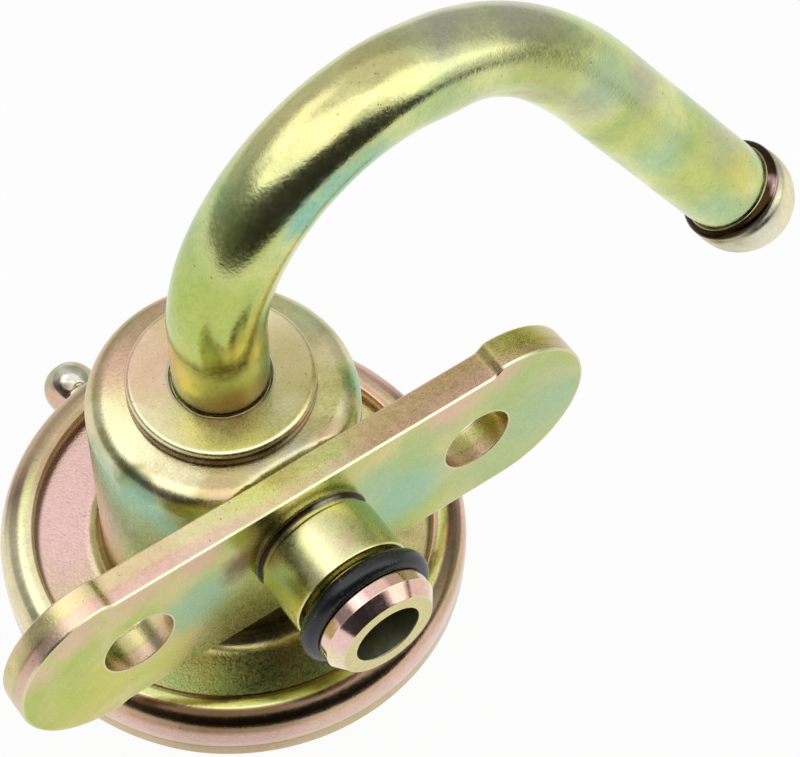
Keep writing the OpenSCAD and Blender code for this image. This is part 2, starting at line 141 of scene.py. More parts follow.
def on_nipple(r, a, h):
    """Place on the nipple's axis, out from the can."""
    out = Vector((-math.sin(NIPPLE_TURN), math.cos(NIPPLE_TURN), 0))
    side = Vector((math.cos(NIPPLE_TURN), math.sin(NIPPLE_TURN), 0))
    start = Vector((0, AXIS_Y, NIPPLE_Z))
    return start + out * h + side * (r * math.cos(a)) + Vector((0, 0, r * math.sin(a)))


def piece(name, points, faces, nodes, body="housing"):
    """Makes a smooth mesh piece from points in millimetres, riding on its body in place of its CAD nodes."""
    mesh = bpy.data.meshes.new(name)
    mesh.from_pydata([Vector(p) * MM for p in points], [], faces)
    bm = bmesh.new()
    bm.from_mesh(mesh)
    bmesh.ops.remove_doubles(bm, verts=bm.verts, dist=WELD)
    bmesh.ops.recalc_face_normals(bm, faces=bm.faces)
    bm.to_mesh(mesh)
    bm.free()
    mesh.shade_smooth()
    mark_edges(mesh)
    obj = bpy.data.objects.new(name, mesh)
    bpy.context.scene.collection.objects.link(obj)
    if body:
        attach(obj, body)
    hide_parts(*nodes)
    return obj


def mark_edges(mesh):
    """Stores how sharply each point bulges (edge) or sinks (crease), per millimetre, for wear with painted
    highlight and for painted shade.
    """
    count = len(mesh.vertices)
    co, no = np.empty(count * 3), np.empty(count * 3)
    mesh.vertices.foreach_get("co", co)
    mesh.vertices.foreach_get("normal", no)
    co, no = co.reshape(-1, 3) / MM, no.reshape(-1, 3)
    pairs = np.empty(len(mesh.edges) * 2, int)
    mesh.edges.foreach_get("vertices", pairs)
    a, b = pairs.reshape(-1, 2).T
    step = co[a] - co[b]
    bend = ((no[a] - no[b]) * step).sum(1) / np.maximum((step ** 2).sum(1), 1e-6)
    for name, sign in (("edge", 1), ("crease", -1)):
        values = np.zeros(count, np.float32)
        np.maximum.at(values, a, sign * bend)
        np.maximum.at(values, b, sign * bend)
        mesh.attributes.new(name, "FLOAT", "POINT").data.foreach_set("value", values)


def quads(low, high):
    """Faces between two closed rings of as many points."""
    count = len(low)
    return [[low[k], low[(k + 1) % count], high[(k + 1) % count], high[k]] for k in range(count)]


def turned(name, section, place, nodes, shape=None, turns=TURNS, body="housing"):
    """Turned piece: a closed section carried round an axis. shape may move a point after it is placed."""
    points, rows = [], []
    for r, h in section:
        row = []
        for k in range(1 if r < ON_AXIS else turns):
            p = place(r, 2 * math.pi * k / turns, h)
            row.append(len(points))
            points.append(shape(p, r, h) if shape else p)
        rows.append(row)
    faces = []
    for low, high in zip(rows, rows[1:] + rows[:1]):
        if len(low) == 1 and len(high) == 1:
            continue
        low, high = (row * turns if len(row) == 1 else row for row in (low, high))
        faces += [list(dict.fromkeys(corners)) for corners in quads(low, high)]
    return piece(name, points, faces, nodes, body)


def ripple(p, size, amount, seed):
    """Smooth unevenness of hand-brazed or pressed metal."""
    return amount * noise.noise(Vector(p) / size + Vector((seed, 0.37 * seed, 1.7)))


def ease(x, a, b):
    """0 at a, 1 at b, smooth between."""
    t = min(1.0, max(0.0, (x - a) / (b - a)))
    return t * t * (3 - 2 * t)


# Fuel can

CAN_R, CAN_WALL = 11.35, 1.2
CAN_TOP = 6.8
SHOULDER_R = 2.2
FLAT_Y = 3.0
FLAT_FOOT, FLAT_END = -8.2, -12.0                   # the flat runs out between these heights
INSIDE_R, INSIDE_TOP = CAN_R - 0.6, CAN_TOP - 1.1   # the section's points within both are on its inner side
FLANGE_R, FLANGE_TOP, FLANGE_UNDER = 18.85, -15.3, -16.5
COLLAR_SEAT_R = 7.4                                 # the top is level up to here, then falls to the shoulder
EVEN_R = 6.0                                        # the drawn wall is uneven outside this radius


def flattened(p, r, h):
    """Front of the can, pressed flat against the plate."""
    if p.z < FLAT_END:
        return p
    inside = r < INSIDE_R and h < INSIDE_TOP
    limit = FLAT_Y + (CAN_WALL if inside else 0.0) - max(0.0, FLAT_FOOT - p.z)
    p.y = max(p.y, limit)
    if not inside:
        fall = max(0.0, SHOULDER_R - (p.y - FLAT_Y))
        p.z = min(p.z, CAN_TOP - SHOULDER_R + math.sqrt(max(0.0, SHOULDER_R ** 2 - fall ** 2)))
        out = Vector((p.x, p.y - AXIS_Y, 0))
        if p.y > limit and out.length > EVEN_R:
            p -= out.normalized() * max(0.0, ripple(p, 8, 0.025, 3))
    return p


can_section = filleted([(CAN_R, 6.2, SHOULDER_R), (CAN_R, FLANGE_TOP, 1.6), (FLANGE_R, FLANGE_TOP, 0.8),
                        (FLANGE_R, FLANGE_UNDER, 0.1), (10.15, FLANGE_UNDER, 2.8), (10.15, 5.6, 1.0),
                        (5.7, 5.6, 0), (5.7, CAN_TOP, 0), (COLLAR_SEAT_R, CAN_TOP, 0)], steps=12)
can_section += [(COLLAR_SEAT_R + 0.3 * k, CAN_TOP - 0.046 * k) for k in range(1, 6)]
can = turned("fuel_can", can_section, on_can, ["upper_can"], flattened)


# Spring cup with its rolled rim

RIM_INNER_R, RIM_TOP, RIM_R = 17.25, -13.9, 20.35
ROLL = (17.65, -16.6)               # centre of the roll's inner side
CUP_FLOOR = -30.2
WAVES_FROM_R, WAVES_FROM_Z = 16.5, -19.6


def crimped(p, r, h):
    """Slight waves that the rolling tool leaves in the rim."""
    if r > WAVES_FROM_R and h > WAVES_FROM_Z:
        out = Vector((p.x, p.y - AXIS_Y, 0)).normalized()
        p = p - out * max(0.0, ripple(p, 9, 0.06, 5)) - Vector((0, 0, max(0.0, ripple(p, 6, 0.05, 9))))
    return p


rim_section = filleted([(RIM_INNER_R, FLANGE_TOP, 0.05), (RIM_INNER_R, RIM_TOP, 0.35), (RIM_R, RIM_TOP, 2.3),
                        (RIM_R, -17.45, 0)], steps=12)
cup_section = (rim_section + [(20.34, -17.5), (20.28, -17.56), (20.27, -17.62), (20.27, -18.0)]
               + arc((19.67, -18.9), 0.6, 0, -90, 8) + [(18.8, -19.5), (15.2, -19.5)]
               + arc((14.8, -20.7), 1.2, 90, 180, 10) + [(13.6, -21.2), (13.6, -27.0)]
               + arc((11.0, -27.6), 2.6, 0, -90, 14)
               + [(10.2, CUP_FLOOR), (0.0, CUP_FLOOR), (0.0, -28.8), (10.8, -28.8)]
               + arc((11.0, -27.6), 1.2, -90, 0, 8) + [(12.2, -21.0)] + arc((14.8, -20.7), 2.6, 180, 90, 10)
               + [(18.6, -18.1), (18.95, -18.0), (18.95, -16.9)] + arc(ROLL, 1.3, 0, 90, 8)
               + [(17.4, FLANGE_TOP)])
cup = turned("spring_cup_shell", cup_section, on_can, ["lower_cup"], crimped)


# Collar and the braze round the pipe

COLLAR_TOP, COLLAR_FOOT = 8.6, -9.0
BRAZE_FREE = 8.0                    # the braze is smooth below this height

collar_section = filleted([(4.24, COLLAR_TOP, 0.05), (4.24, 1.6, 0), (3.05, 1.6, 0), (3.05, -6.5, 0),
                           (4.2, -6.5, 0), (4.2, COLLAR_FOOT, 0), (5.6, COLLAR_FOOT, 0.2), (5.6, CAN_TOP, 0),
                           (7.8, CAN_TOP, 0.05), (7.8, COLLAR_TOP, 0.46)], steps=8)
collar = turned("pipe_collar_turned", collar_section, on_can, ["pipe_collar"])


def wavy_braze(p, r, h):
    """Braze that wets the pipe unevenly."""
    return p + Vector((0, 0, ripple(p, 1.6, 0.1, 2))) if h > BRAZE_FREE else p


braze_section = filleted([(4.0, 7.7, 0), (4.25, 7.7, 0), (4.25, 8.36, 0.03), (4.12, 8.3, 0.04), (4.0, 8.38, 0)],
                         steps=4)
braze = turned("pipe_braze", braze_section, on_can, ["tube_braze"], wavy_braze)


# Mounting plate

LOBE_X, LOBE_R, LOBE_LIFT = 19.3, 8.2, 0.4      # the right end stands higher by the lift
WAIST, WAIST_RUN = 7.8, 1.2                     # half height between the ends, and its run up to them
PLATE_T = 3.0
HOLE_X, HOLE_R, INLET_R = 16.6, 3.2, 4.55
LOBE_STEPS, SIDE_STEPS, HOLE_STEPS = 64, 160, 96


def plate_edge(inset):
    """Outline of the plate's face, set in by a distance, anticlockwise from the right end's foot."""
    points = []
    for side, lift in ((1, LOBE_LIFT), (-1, 0.0)):
        for k in range(LOBE_STEPS + 1):
            a = math.radians(-90 + 180 * k / LOBE_STEPS) + (0 if side > 0 else math.pi)
            points.append((side * LOBE_X + (LOBE_R - inset) * math.cos(a),
                           lift + (LOBE_R - inset) * math.sin(a)))
        top = side > 0
        for k in range(1, SIDE_STEPS):
            x = side * (LOBE_X - 2 * LOBE_X * k / SIDE_STEPS)
            y = WAIST - inset
            for end, raised in ((1, LOBE_LIFT if top else -LOBE_LIFT), (-1, 0.0)):
                gap = LOBE_X - end * x
                if gap < WAIST_RUN:
                    y += (LOBE_R - WAIST + raised) * (1 - ease(gap, 0.0, WAIST_RUN))
            points.append((x, y if top else -y))
    return points


def ring_of(x, r):
    """Points of a hole in the plate."""
    angles = [2 * math.pi * k / HOLE_STEPS for k in range(HOLE_STEPS)]
    return [(x + r * math.cos(a), r * math.sin(a)) for a in angles]


def back_round(inset, r):
    """Steps (inset, depth) of a wall's rounded back edge."""
    angles = [math.radians(a) for a in range(0, 91, 30)]
    return [(inset + r * (1 - math.cos(a)), PLATE_T - r + r * math.sin(a)) for a in angles]


def make_plate():
    """Stamped plate: front edge broken by tumbling, straight sheared walls, rounded back edge."""
    rolls = [(0.3, 0.0), (0.13, 0.0), (0.1, 0.0), (0.09, 0.02), (0.01, 0.18), (0.0, 0.2), (0.0, 0.26),
             (0.0, 1.1), (0.0, 2.0), (0.03, 2.8)] + back_round(0.03, 0.17) + [(0.32, PLATE_T)]
    hole_rolls = [(0.25, 0.0), (0.07, 0.0), (0.05, 0.0), (0.04, 0.01), (0.01, 0.06), (0.0, 0.07), (0.0, 0.12),
                  (0.0, 1.0), (0.0, 2.6)] + back_round(0.0, 0.12) + [(0.22, PLATE_T)]
    inlet_rolls = [(0.5, 0.0), (0.05, 0.0), (0.0, 0.0), (0.0, PLATE_T), (0.05, PLATE_T), (0.5, PLATE_T)]
    loops = [(plate_edge, rolls), (lambda d: ring_of(HOLE_X, HOLE_R + d), hole_rolls),
             (lambda d: ring_of(-HOLE_X, HOLE_R + d), hole_rolls),
             (lambda d: ring_of(0.0, INLET_R + d), inlet_rolls)]
    points, faces, ends = [], [], ([], [])
    for outline, steps in loops:
        rows = []
        for inset, depth in steps:
            row = []
            for x, z in outline(inset):
                row.append(len(points))
                points.append(Vector((x, depth, z)))
            rows.append(row)
        for low, high in zip(rows, rows[1:]):
            faces += quads(low, high)
        ends[0].append(rows[0])
        ends[1].append(rows[-1])
    for rings in ends:
        flat = [i for ring in rings for i in ring]
        ring_number = [k for k, ring in enumerate(rings) for _ in ring]
        start, edges = 0, []
        for ring in rings:
            edges += [(start + k, start + (k + 1) % len(ring)) for k in range(len(ring))]
            start += len(ring)
        made = delaunay_2d_cdt([Vector((points[i].x, points[i].z)) for i in flat], edges, [], 1, 1e-6)
        for face in made[2]:
            corners = [made[3][i][0] for i in face]
            touched = {ring_number[i] for i in corners}
            if len(touched) > 1 or touched == {0}:      # a face on one hole's ring alone would close that hole
                faces.append([flat[i] for i in corners])
    return piece("mounting_plate_stamped", points, faces, ["mounting_plate"])


plate = make_plate()


# Inlet spigot, its braze and O-ring

SPIGOT_BORE_R, SPIGOT_END = 3.0, 10.8
BRAZE_EDGE = 0.12                   # the fillet's upper edge, which is uneven, starts this far off the plate

spigot_section = filleted([(SPIGOT_BORE_R, SPIGOT_END, 0.12), (SPIGOT_BORE_R, -5.0, 0.05), (4.5, -5.0, 0.2),
                           (4.5, 0, 0), (5.0, 0, 0.05), (5.0, 0.75, 0.08), (5.4, 0.95, 0.16), (5.4, 5.9, 0.2),
                           (4.2, 5.9, 0.12), (4.2, 8.5, 0.12), (5.15, 8.5, 0.1), (5.15, 9.65, 0.08),
                           (4.3, SPIGOT_END, 0.08)], steps=5)
spigot = turned("inlet_spigot_turned", spigot_section, on_spigot, ["inlet_spigot"])


def run_braze(p, r, h):
    """Braze fillet with an uneven upper edge."""
    return p + Vector((0, -max(0.0, ripple(p, 2.2, 0.12, 4)), 0)) if h > BRAZE_EDGE else p


fillet_section = [(4.98, 0.0), (5.42, 0.0)] + arc((5.42, 0.38), 0.38, 270, 180, 8) + [(4.98, 0.42)]
spigot_fillet = turned("spigot_braze_fillet", fillet_section, on_spigot, ["spigot_braze"], run_braze)
ring_section = arc((5.15, 7.5), 0.95, 0, 352.5, 47)
o_ring = turned("o_ring_seal", ring_section, on_spigot, ["o_ring"])


# Vacuum nipple and its braze

NIPPLE_TURNS = 96

nipple_section = filleted([(1.1, 28.6, 0.1), (1.1, 11.6, 0), (2.0, 11.6, 0.1)], steps=4) \
    + [(2.0, 24.75), (2.0, 24.9)] + arc((0, 26.7), 2.545, -38, 48.2, 20)
nipple = turned("vacuum_nipple_turned", nipple_section, on_nipple, ["vacuum_nipple"], turns=NIPPLE_TURNS)
nipple_fillet_section = [(1.98, 13.1), (2.8, 13.1)] \
    + [(r, h + 13.2) for r, h in arc((2.8, 0.8), 0.8, 270, 180, 8)]
nipple_fillet = turned("nipple_braze_fillet", nipple_fillet_section, on_nipple, ["nipple_braze"],
                       turns=NIPPLE_TURNS)


# Return pipe: a straight foot, a first bend, a short link, a second bend in another plane, and a straight end

TUBE_R, BORE_R, NOMINAL_R = 4.04, 3.05, 4.0
FOOT_DEPTH = 7.0                    # the foot stands this deep in the collar
FOOT_RUN, LINK_RUN, END_RUN = 13.4, 1.5, 19.95
FIRST_HEADING, FIRST_R, FIRST_ANGLE = 5.3, 16.1, 105.4
SECOND_TWIST, SECOND_R, SECOND_ANGLE = -28.8, 24.5, 45.5
FOOT_STEP, RUN_STEP, BEND_STEP = 0.35, 0.25, 0.22


def pipe_route():
    """Stations on the centre line (distance, place, axes of the section), then the end's place and axes."""
    stations = []
    u, v, t = Vector((1, 0, 0)), Vector((0, 1, 0)), Vector((0, 0, 1))
    p = Vector((0, AXIS_Y, COLLAR_TOP - FOOT_DEPTH))
    s = -FOOT_DEPTH

    def run(length, step):
        nonlocal p, s
        count = max(1, round(length / step))
        for _ in range(count):
            stations.append((s, p.copy(), u.copy(), v.copy()))
            p = p + t * (length / count)
            s += length / count

    def bend(radius, angle, toward):
        nonlocal p, s, u, v, t
        axis = t.cross(toward).normalized()
        count = round(math.radians(angle) * radius / BEND_STEP)
        turn = Matrix.Rotation(math.radians(angle) / count, 3, axis)
        middle = p + toward * radius
        for _ in range(count):
            stations.append((s, p.copy(), u.copy(), v.copy()))
            p = middle + turn @ (p - middle)
            u, v, t = turn @ u, turn @ v, turn @ t
            s += math.radians(angle) * radius / count
        return axis

    run(FOOT_RUN, FOOT_STEP)
    heading = math.radians(FIRST_HEADING)
    axis = bend(FIRST_R, FIRST_ANGLE, Vector((math.cos(heading), math.sin(heading), 0)))
    run(LINK_RUN, RUN_STEP)
    inward = axis.cross(t).normalized()
    bend(SECOND_R, SECOND_ANGLE, Matrix.Rotation(math.radians(SECOND_TWIST), 3, t) @ inward)
    run(END_RUN, RUN_STEP)
    return stations, (p, u, v, t)


stations, (bead_root, bead_u, bead_v, bead_t) = pipe_route()
BEAD_RING = 1.2     # the upset ring's width; the blunt tip follows it
# The bead's outline: distance past its root, radius
BEAD = [(0.04, 4.02), (0.1, 4.02), (0.13, 4.12), (0.18, 4.3), (0.27, 4.48), (0.4, 4.62), (0.54, 4.7),
        (0.68, 4.72), (0.82, 4.7), (0.95, 4.64), (1.05, 4.57), (1.13, 4.5), (1.2, 4.49), (1.28, 4.53),
        (1.4, 4.6)] \
    + [(2.2 + 4.8 * math.sin(math.radians(a)), 4.8 * math.cos(math.radians(a))) for a in range(-8, 49, 4)] \
    + [(5.79, 3.21), (5.8, 3.14), (5.72, 3.06)]
BEAD_BORE = (5.2, 3.0, 0.0)     # rings of the bore inside the bead, as distances past its root

PRESSED_SIDE = -23.5            # side of the pipe, in degrees round it, that the bending die pressed
PRESS_DEPTH, STEP_DEPTH = 0.42, 0.06


def pressed(s, degrees):
    """How far the bending die pushed the second bend's inside in, and the shallow step where the die ended."""
    reach = abs((degrees - PRESSED_SIDE + 180) % 360 - 180)
    along = ease(s, 37.0, 44.5) * ease(s, 54.5, 46.5)
    step = STEP_DEPTH * ease(reach, 64.0, 57.0) * ease(s, 38.0, 41.0) * ease(s, 58.5, 56.5)
    return PRESS_DEPTH * along * ease(reach, 66.0, 36.0) + step


def make_pipe(sides=160, bore_every=6):
    """Bent pipe with its bead and bore, and how many of its first faces are outside."""
    points, rows = [], []

    def ring(p, u, v, radius):
        row = []
        for k in range(sides):
            a = 2 * math.pi * k / sides
            r = radius(a) if callable(radius) else radius
            row.append(len(points))
            points.append(p + u * (r * math.cos(a)) + v * (r * math.sin(a)))
        rows.append(row)

    for s, p, u, v in stations:
        ring(p, u, v, lambda a: TUBE_R - pressed(s, math.degrees(a))
             - max(0.0, ripple(p + u * (NOMINAL_R * math.cos(a)) + v * (NOMINAL_R * math.sin(a)), 6, 0.05, 11)))
    for along, r in BEAD:
        ring(bead_root + bead_t * along, bead_u, bead_v, r)
    for along in BEAD_BORE:
        ring(bead_root + bead_t * along, bead_u, bead_v, BORE_R)
    for s, p, u, v in reversed(stations[::bore_every]):
        ring(p, u, v, BORE_R)
    faces = []
    for low, high in zip(rows, rows[1:] + rows[:1]):
        faces += quads(low, high)
    return piece("return_pipe_bent", points, faces, ["return_tube"]), sides * (len(stations) + len(BEAD))


pipe, PIPE_OUTSIDE = make_pipe()


# Main spring

SPRING_LOW, SPRING_HIGH = -27.94, -18.06
SPRING_R, WIRE = 6.4, 1.5
SPRING_TURNS, CLOSED = 4.5, 1.03 * WIRE     # all turns, and the pitch of the closed turn at each end


def spring_height(t):
    """Height of the wire's centre after t turns: one closed turn at each end, even pitch between."""
    free = SPRING_HIGH - SPRING_LOW - WIRE
    pitch = (free - 2 * CLOSED) / (SPRING_TURNS - 2)
    if t < 1:
        rise = t * CLOSED
    elif t > SPRING_TURNS - 1:
        rise = free - (SPRING_TURNS - t) * CLOSED
    else:
        rise = CLOSED + (t - 1) * pitch
    return SPRING_LOW + WIRE / 2 + rise


def make_spring(sides=24, steps=72):
    """Coil of the main spring, one closed turn at each end and an even pitch between."""
    points, faces = [], []
    count = round(SPRING_TURNS * steps)
    for i in range(count + 1):
        turn = i / steps
        for k in range(sides):
            b = 2 * math.pi * k / sides
            points.append(on_can(SPRING_R + WIRE / 2 * math.cos(b), 2 * math.pi * turn,
                                 spring_height(turn) + WIRE / 2 * math.sin(b)))
    rows = [list(range(i * sides, (i + 1) * sides)) for i in range(count + 1)]
    for low, high in zip(rows, rows[1:]):
        faces += quads(low, high)
    coil = piece("main_spring_coil", points, faces + [rows[0], rows[-1]], ["main_spring"])
    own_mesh(coil)
    return coil


main_spring = make_spring()


# Diaphragm, moulded in one with its fold, in two meshes that meet at the fold's foot; the hub half rides on no
# body

FOLD = (10.2, -16.85)
FOLD_INNER, FOLD_OUTER = 1.15, 1.85
FABRIC_TOP, HUB_UNDER, CLAMP_UNDER = -16.5, -17.2, -18.1
HUB_R, CLAMP_R = 2.44, 18.9
FABRIC_TURNS = 128

hub_half = [(HUB_R, FABRIC_TOP), (FOLD[0] - FOLD_INNER, FABRIC_TOP)] + arc(FOLD, FOLD_INNER, 180, 270, 12) \
    + arc(FOLD, FOLD_OUTER, 270, 194, 12) + [(FOLD[0] - FOLD_OUTER, HUB_UNDER), (HUB_R, HUB_UNDER)]
rim_half = arc(FOLD, FOLD_INNER, 270, 360, 12) \
    + [(FOLD[0] + FOLD_INNER, FABRIC_TOP), (CLAMP_R, FABRIC_TOP), (CLAMP_R, CLAMP_UNDER), (14.8, CLAMP_UNDER),
       (FOLD[0] + FOLD_OUTER, HUB_UNDER)] + arc(FOLD, FOLD_OUTER, 346, 270, 12)
diaphragm_rim = turned("diaphragm_rim", rim_half, on_can, ["diaphragm"], turns=FABRIC_TURNS)
diaphragm_hub = turned("diaphragm_hub", hub_half, on_can, ["diaphragm"], turns=FABRIC_TURNS, body=None)
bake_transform(diaphragm_hub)


# Finishes

# Film tints of yellow chromate on zinc, from the thinnest film to the thickest, as they show on the plating;
# umber, bronze and olive also paint shade and dark reflections, and pearl, cream and lemon paint highlights,
# where noted below
TINTS = {"pearl": "#F5F1E4", "cream": "#F0E7BE", "straw": "#DACD92", "brass": "#DDD05C", "lemon": "#E4E7A0",
         "lime": "#B6C460", "sage": "#AFC48A", "teal": "#92C4AA", "rose": "#E2B9A2", "pink": "#EDC6C0",
         "tan": "#C9AC8C", "dove": "#B4B39C", "khaki": "#B8AA74", "olive": "#86883A", "bronze": "#6E4F28",
         "umber": "#382815"}
# Sharp edges turn pale as worn zinc with a painted highlight along them; creases and corners take a painted
# shade
WORN_ZINC_AND_HIGHLIGHT, CREASE_PAINTED_SHADE, PIT_FILM = "#EFE6CE", "#3A3016", "#3B3418"
EDGE_BEND, CREASE_BEND = (3.0, 14.0), (2.0, 10.0)   # bends per millimetre over which the pale edges (wear and painted highlight) and the painted crease shade set in
CREASE_SHADE_SHARE = 0.75
STIR_SIZE, STIR_REACH = 2.2, 2.4     # how a patch's outline wanders
SMOOTH = {"interpolation_type": "SMOOTHSTEP"}


def new_material(name):
    """Material with its node tree, its shader, and the piece's own coordinates in millimetres."""
    material = bpy.data.materials.new(name)
    material.use_nodes = True
    tree = material.node_tree
    place = add(tree, "TexCoord")["Object"]
    mm = add(tree, "VectorMath", {0: place, "Scale": 1 / MM}, operation="SCALE")[0]
    return material, tree, tree.nodes["Principled BSDF"], mm


def number(tree, operation, a, b):
    """Arithmetic on two numbers."""
    return add(tree, "Math", {0: a, 1: b}, operation=operation)[0]


def vector(tree, operation, *values):
    """Arithmetic on vectors; a length, a distance or a dot product is a number."""
    made = add(tree, "VectorMath", dict(enumerate(values)), operation=operation)
    return made["Value" if operation in ("LENGTH", "DISTANCE", "DOT_PRODUCT") else "Vector"]


def ranged(tree, value, low, high, to_low=0.0, to_high=1.0, **settings):
    """A value's range mapped to another, held at its ends."""
    return add(tree, "MapRange", {"Value": value, "From Min": low, "From Max": high, "To Min": to_low,
                                  "To Max": to_high}, **settings)[0]


def mottled(tree, place, size, **inputs):
    """Noise from 0 to 1 whose features are about that size."""
    return add(tree, "TexNoise", {"Vector": place, "Scale": 1 / size, **inputs})["Fac"]


def tinted(tree, share, under, over, **settings):
    """One colour laid over another by a share."""
    return add(tree, "Mix", {0: share, 6: under, 7: over}, data_type="RGBA", **settings)[2]


def surface(tree, shader, colour, dull, height, depth, metallic):
    """Connects a shader's colour and roughness, and a bump of that depth."""
    bump = add(tree, "Bump", {"Height": height, "Strength": 1.0, "Distance": depth * MM})
    for socket, value in (("Base Color", colour), ("Roughness", dull), ("Normal", bump["Normal"])):
        tree.links.new(value, shader.inputs[socket])
    shader.inputs["Metallic"].default_value = metallic


# Zinc plated steel under yellow chromate, dipped: a thin film that tints the metal in wandering patches of
# straw, lime, rose and teal, over the fine grain of the plating, pale on sharp edges from wear and a painted
# highlight, and darker in creases with painted shade
def yellow_chromate(name, film, rough, grain, patches=(), bands=(), over=(), patch=6.0, grit=0.26, pits=0.5,
                    wear_and_highlight=0.5):
    """Two film tints that wander over the piece in areas of the patch size, with listed tints on them.

    patches and over are (tint, x, y, z, reach, percent), laid under and over the bands, which are
    (tint, point, axis, start, stop, soft, percent). grain is the depth of the plating's grain, grit its size.
    """
    material, tree, shader, mm = new_material(name)
    stir = add(tree, "TexNoise", {"Vector": mm, "Scale": 1 / STIR_SIZE, "Detail": 2.0})["Color"]
    stir = vector(tree, "SUBTRACT", stir, (0.5, 0.5, 0.5))
    stir = add(tree, "VectorMath", {0: stir, "Scale": STIR_REACH}, operation="SCALE")[0]
    loose = vector(tree, "ADD", mm, stir)
    cloud = ranged(tree, mottled(tree, mm, patch, Detail=3.0, Roughness=0.55, Distortion=0.6), 0.35, 0.65)
    colour = tinted(tree, cloud, linear(TINTS[film[0]]), linear(TINTS[film[1]]))

    def bloom(colour, tint, x, y, z, reach, percent):
        far = vector(tree, "DISTANCE", loose, (x, y, z))
        near = ranged(tree, far, reach, 0.25 * reach, 0.0, percent / 100, **SMOOTH)
        return tinted(tree, near, colour, linear(TINTS[tint]))

    for row in patches:
        colour = bloom(colour, *row)
    for tint, point, axis, start, stop, soft, percent in bands:
        from_point = vector(tree, "SUBTRACT", mm, point)
        if axis is ROUND:
            level = vector(tree, "MULTIPLY", from_point, (1, 1, 0))
            along = vector(tree, "LENGTH", level)
        else:
            along = vector(tree, "DOT_PRODUCT", from_point, axis)
        rise = ranged(tree, along, start - soft, start + soft, **SMOOTH)
        fall = ranged(tree, along, stop + soft, stop - soft, 0.0, percent / 100, **SMOOTH)
        share = number(tree, "MULTIPLY", rise, fall)
        colour = tinted(tree, share, colour, linear(TINTS[tint]))
    for row in over:
        colour = bloom(colour, *row)

    fine = mottled(tree, mm, grit, Detail=2.0, Roughness=0.6)
    coarse = mottled(tree, mm, 0.9, Detail=3.0, Roughness=0.6)
    mixed = add(tree, "Mix", {0: 0.45, 2: fine, 3: coarse})[0]
    shade = ranged(tree, mixed, 0.3, 0.7, 0.84, 1.1)
    colour = tinted(tree, 1.0, colour, shade, blend_type="MULTIPLY")
    # Pale sharp edges: worn zinc, with a painted highlight along them
    edge = add(tree, "Attribute", attribute_name="edge")["Fac"]
    colour = tinted(tree, ranged(tree, edge, *EDGE_BEND, 0.0, wear_and_highlight), colour, linear(WORN_ZINC_AND_HIGHLIGHT))
    # Painted shade in creases and corners
    crease = add(tree, "Attribute", attribute_name="crease")["Fac"]
    colour = tinted(tree, ranged(tree, crease, *CREASE_BEND, 0.0, CREASE_SHADE_SHARE), colour, linear(CREASE_PAINTED_SHADE))
    pit = ranged(tree, mottled(tree, mm, 0.32, Detail=1.0), 0.73, 0.78, 0.0, pits)
    colour = tinted(tree, pit, colour, linear(PIT_FILM))
    dull = ranged(tree, mixed, 0.3, 0.7, rough - 0.06, rough + 0.08)
    height = number(tree, "SUBTRACT", fine, pit)
    surface(tree, shader, colour, dull, height, grain, 1.0)
    return material


def finish(obj, *materials):
    """Gives a piece its finishes, the first all over."""
    obj.data.materials.clear()
    for material in materials:
        obj.data.materials.append(material)


def finish_where(obj, material, chosen):
    """Gives the faces whose centre is chosen another of the piece's finishes."""
    index = obj.data.materials.find(material.name)
    for polygon in obj.data.polygons:
        if chosen(polygon.center / MM):
            polygon.material_index = index


ORIGIN, UP, OUT, BACK, ROUND = (0, 0, 0), (0, 0, 1), (0, -1, 0), (0, 1, 0), None
CAN_AXIS = (0, AXIS_Y, 0)
BEAD_AT, BEAD_AXIS = tuple(bead_root), tuple(bead_t)

drawn_can = yellow_chromate(
    "yellow_chromate_drawn_can", ("straw", "khaki"), rough=0.23, grain=0.014, pits=0.2,
    patches=(
        ("teal", -11.3, 12, 3, 6, 85), ("teal", -11, 11, -4, 7, 70), ("sage", -9.5, 7, 2, 4, 60),
        ("olive", -8.8, 5.6, 3.2, 3, 70), ("cream", -8.8, 12, 7, 5, 80), ("cream", -9, 16.5, 7, 4, 50),
        ("rose", -5.5, 21, 7, 5, 75), ("tan", -1, 21.7, 7, 5, 70), ("cream", 6, 5.7, 7, 5, 85),
        ("straw", -3, 4.8, 7, 5, 60), ("dove", 10.4, 13.7, 6.4, 3, 50), ("sage", 9.8, 8.3, 5.2, 3, 60),
        # The umber patches at (-3, 2, -11) and (4, 2, -11) are painted shade on the can's front under the plate
        ("olive", 8.8, 5.8, 4.6, 2.5, 50), ("olive", -10.6, 10, 5.2, 2.2, 70), ("umber", -3, 2, -11, 6, 85),
        ("umber", 4, 2, -11, 6, 70), ("rose", 12, 20, -6, 9, 50), ("teal", 4, 24, -8, 7, 50)),
    bands=(("olive", CAN_AXIS, ROUND, 10.05, 10.7, 0.3, 50),),
    over=(
        ("umber", -9.8, 8.6, 5.9, 1.7, 60), ("umber", -8.8, 6.8, 5.9, 1.7, 60),
        ("umber", -10.5, 10.6, 5.9, 1.6, 50), ("rose", 4, 23.5, 6.2, 6, 60), ("cream", 10.4, 16, 6, 4, 50),
        ("cream", -7.3, 7.9, 6.8, 3, 85), ("tan", -5.5, 4.3, 6.6, 2.5, 70), ("dove", 1.8, 4, 6.7, 3, 80),
        ("dove", -1.8, 4, 6.7, 2.5, 60), ("cream", 10, 10.2, 6.4, 3, 60), ("cream", -9.6, 16.5, 6.5, 2.5, 60),
        ("teal", -10.6, 8.7, 4.2, 3, 70), ("teal", -9.9, 7.1, 2.4, 3, 60), ("rose", -6.5, 19, 6.9, 3, 40),
        ("tan", 4.5, 4.4, 6.8, 2.5, 70), ("cream", 6.9, 6.4, 6.8, 2, 60), ("teal", 9.8, 7.2, 5.4, 2.2, 60),
        ("sage", 9.4, 15.4, 6.7, 3, 50)))
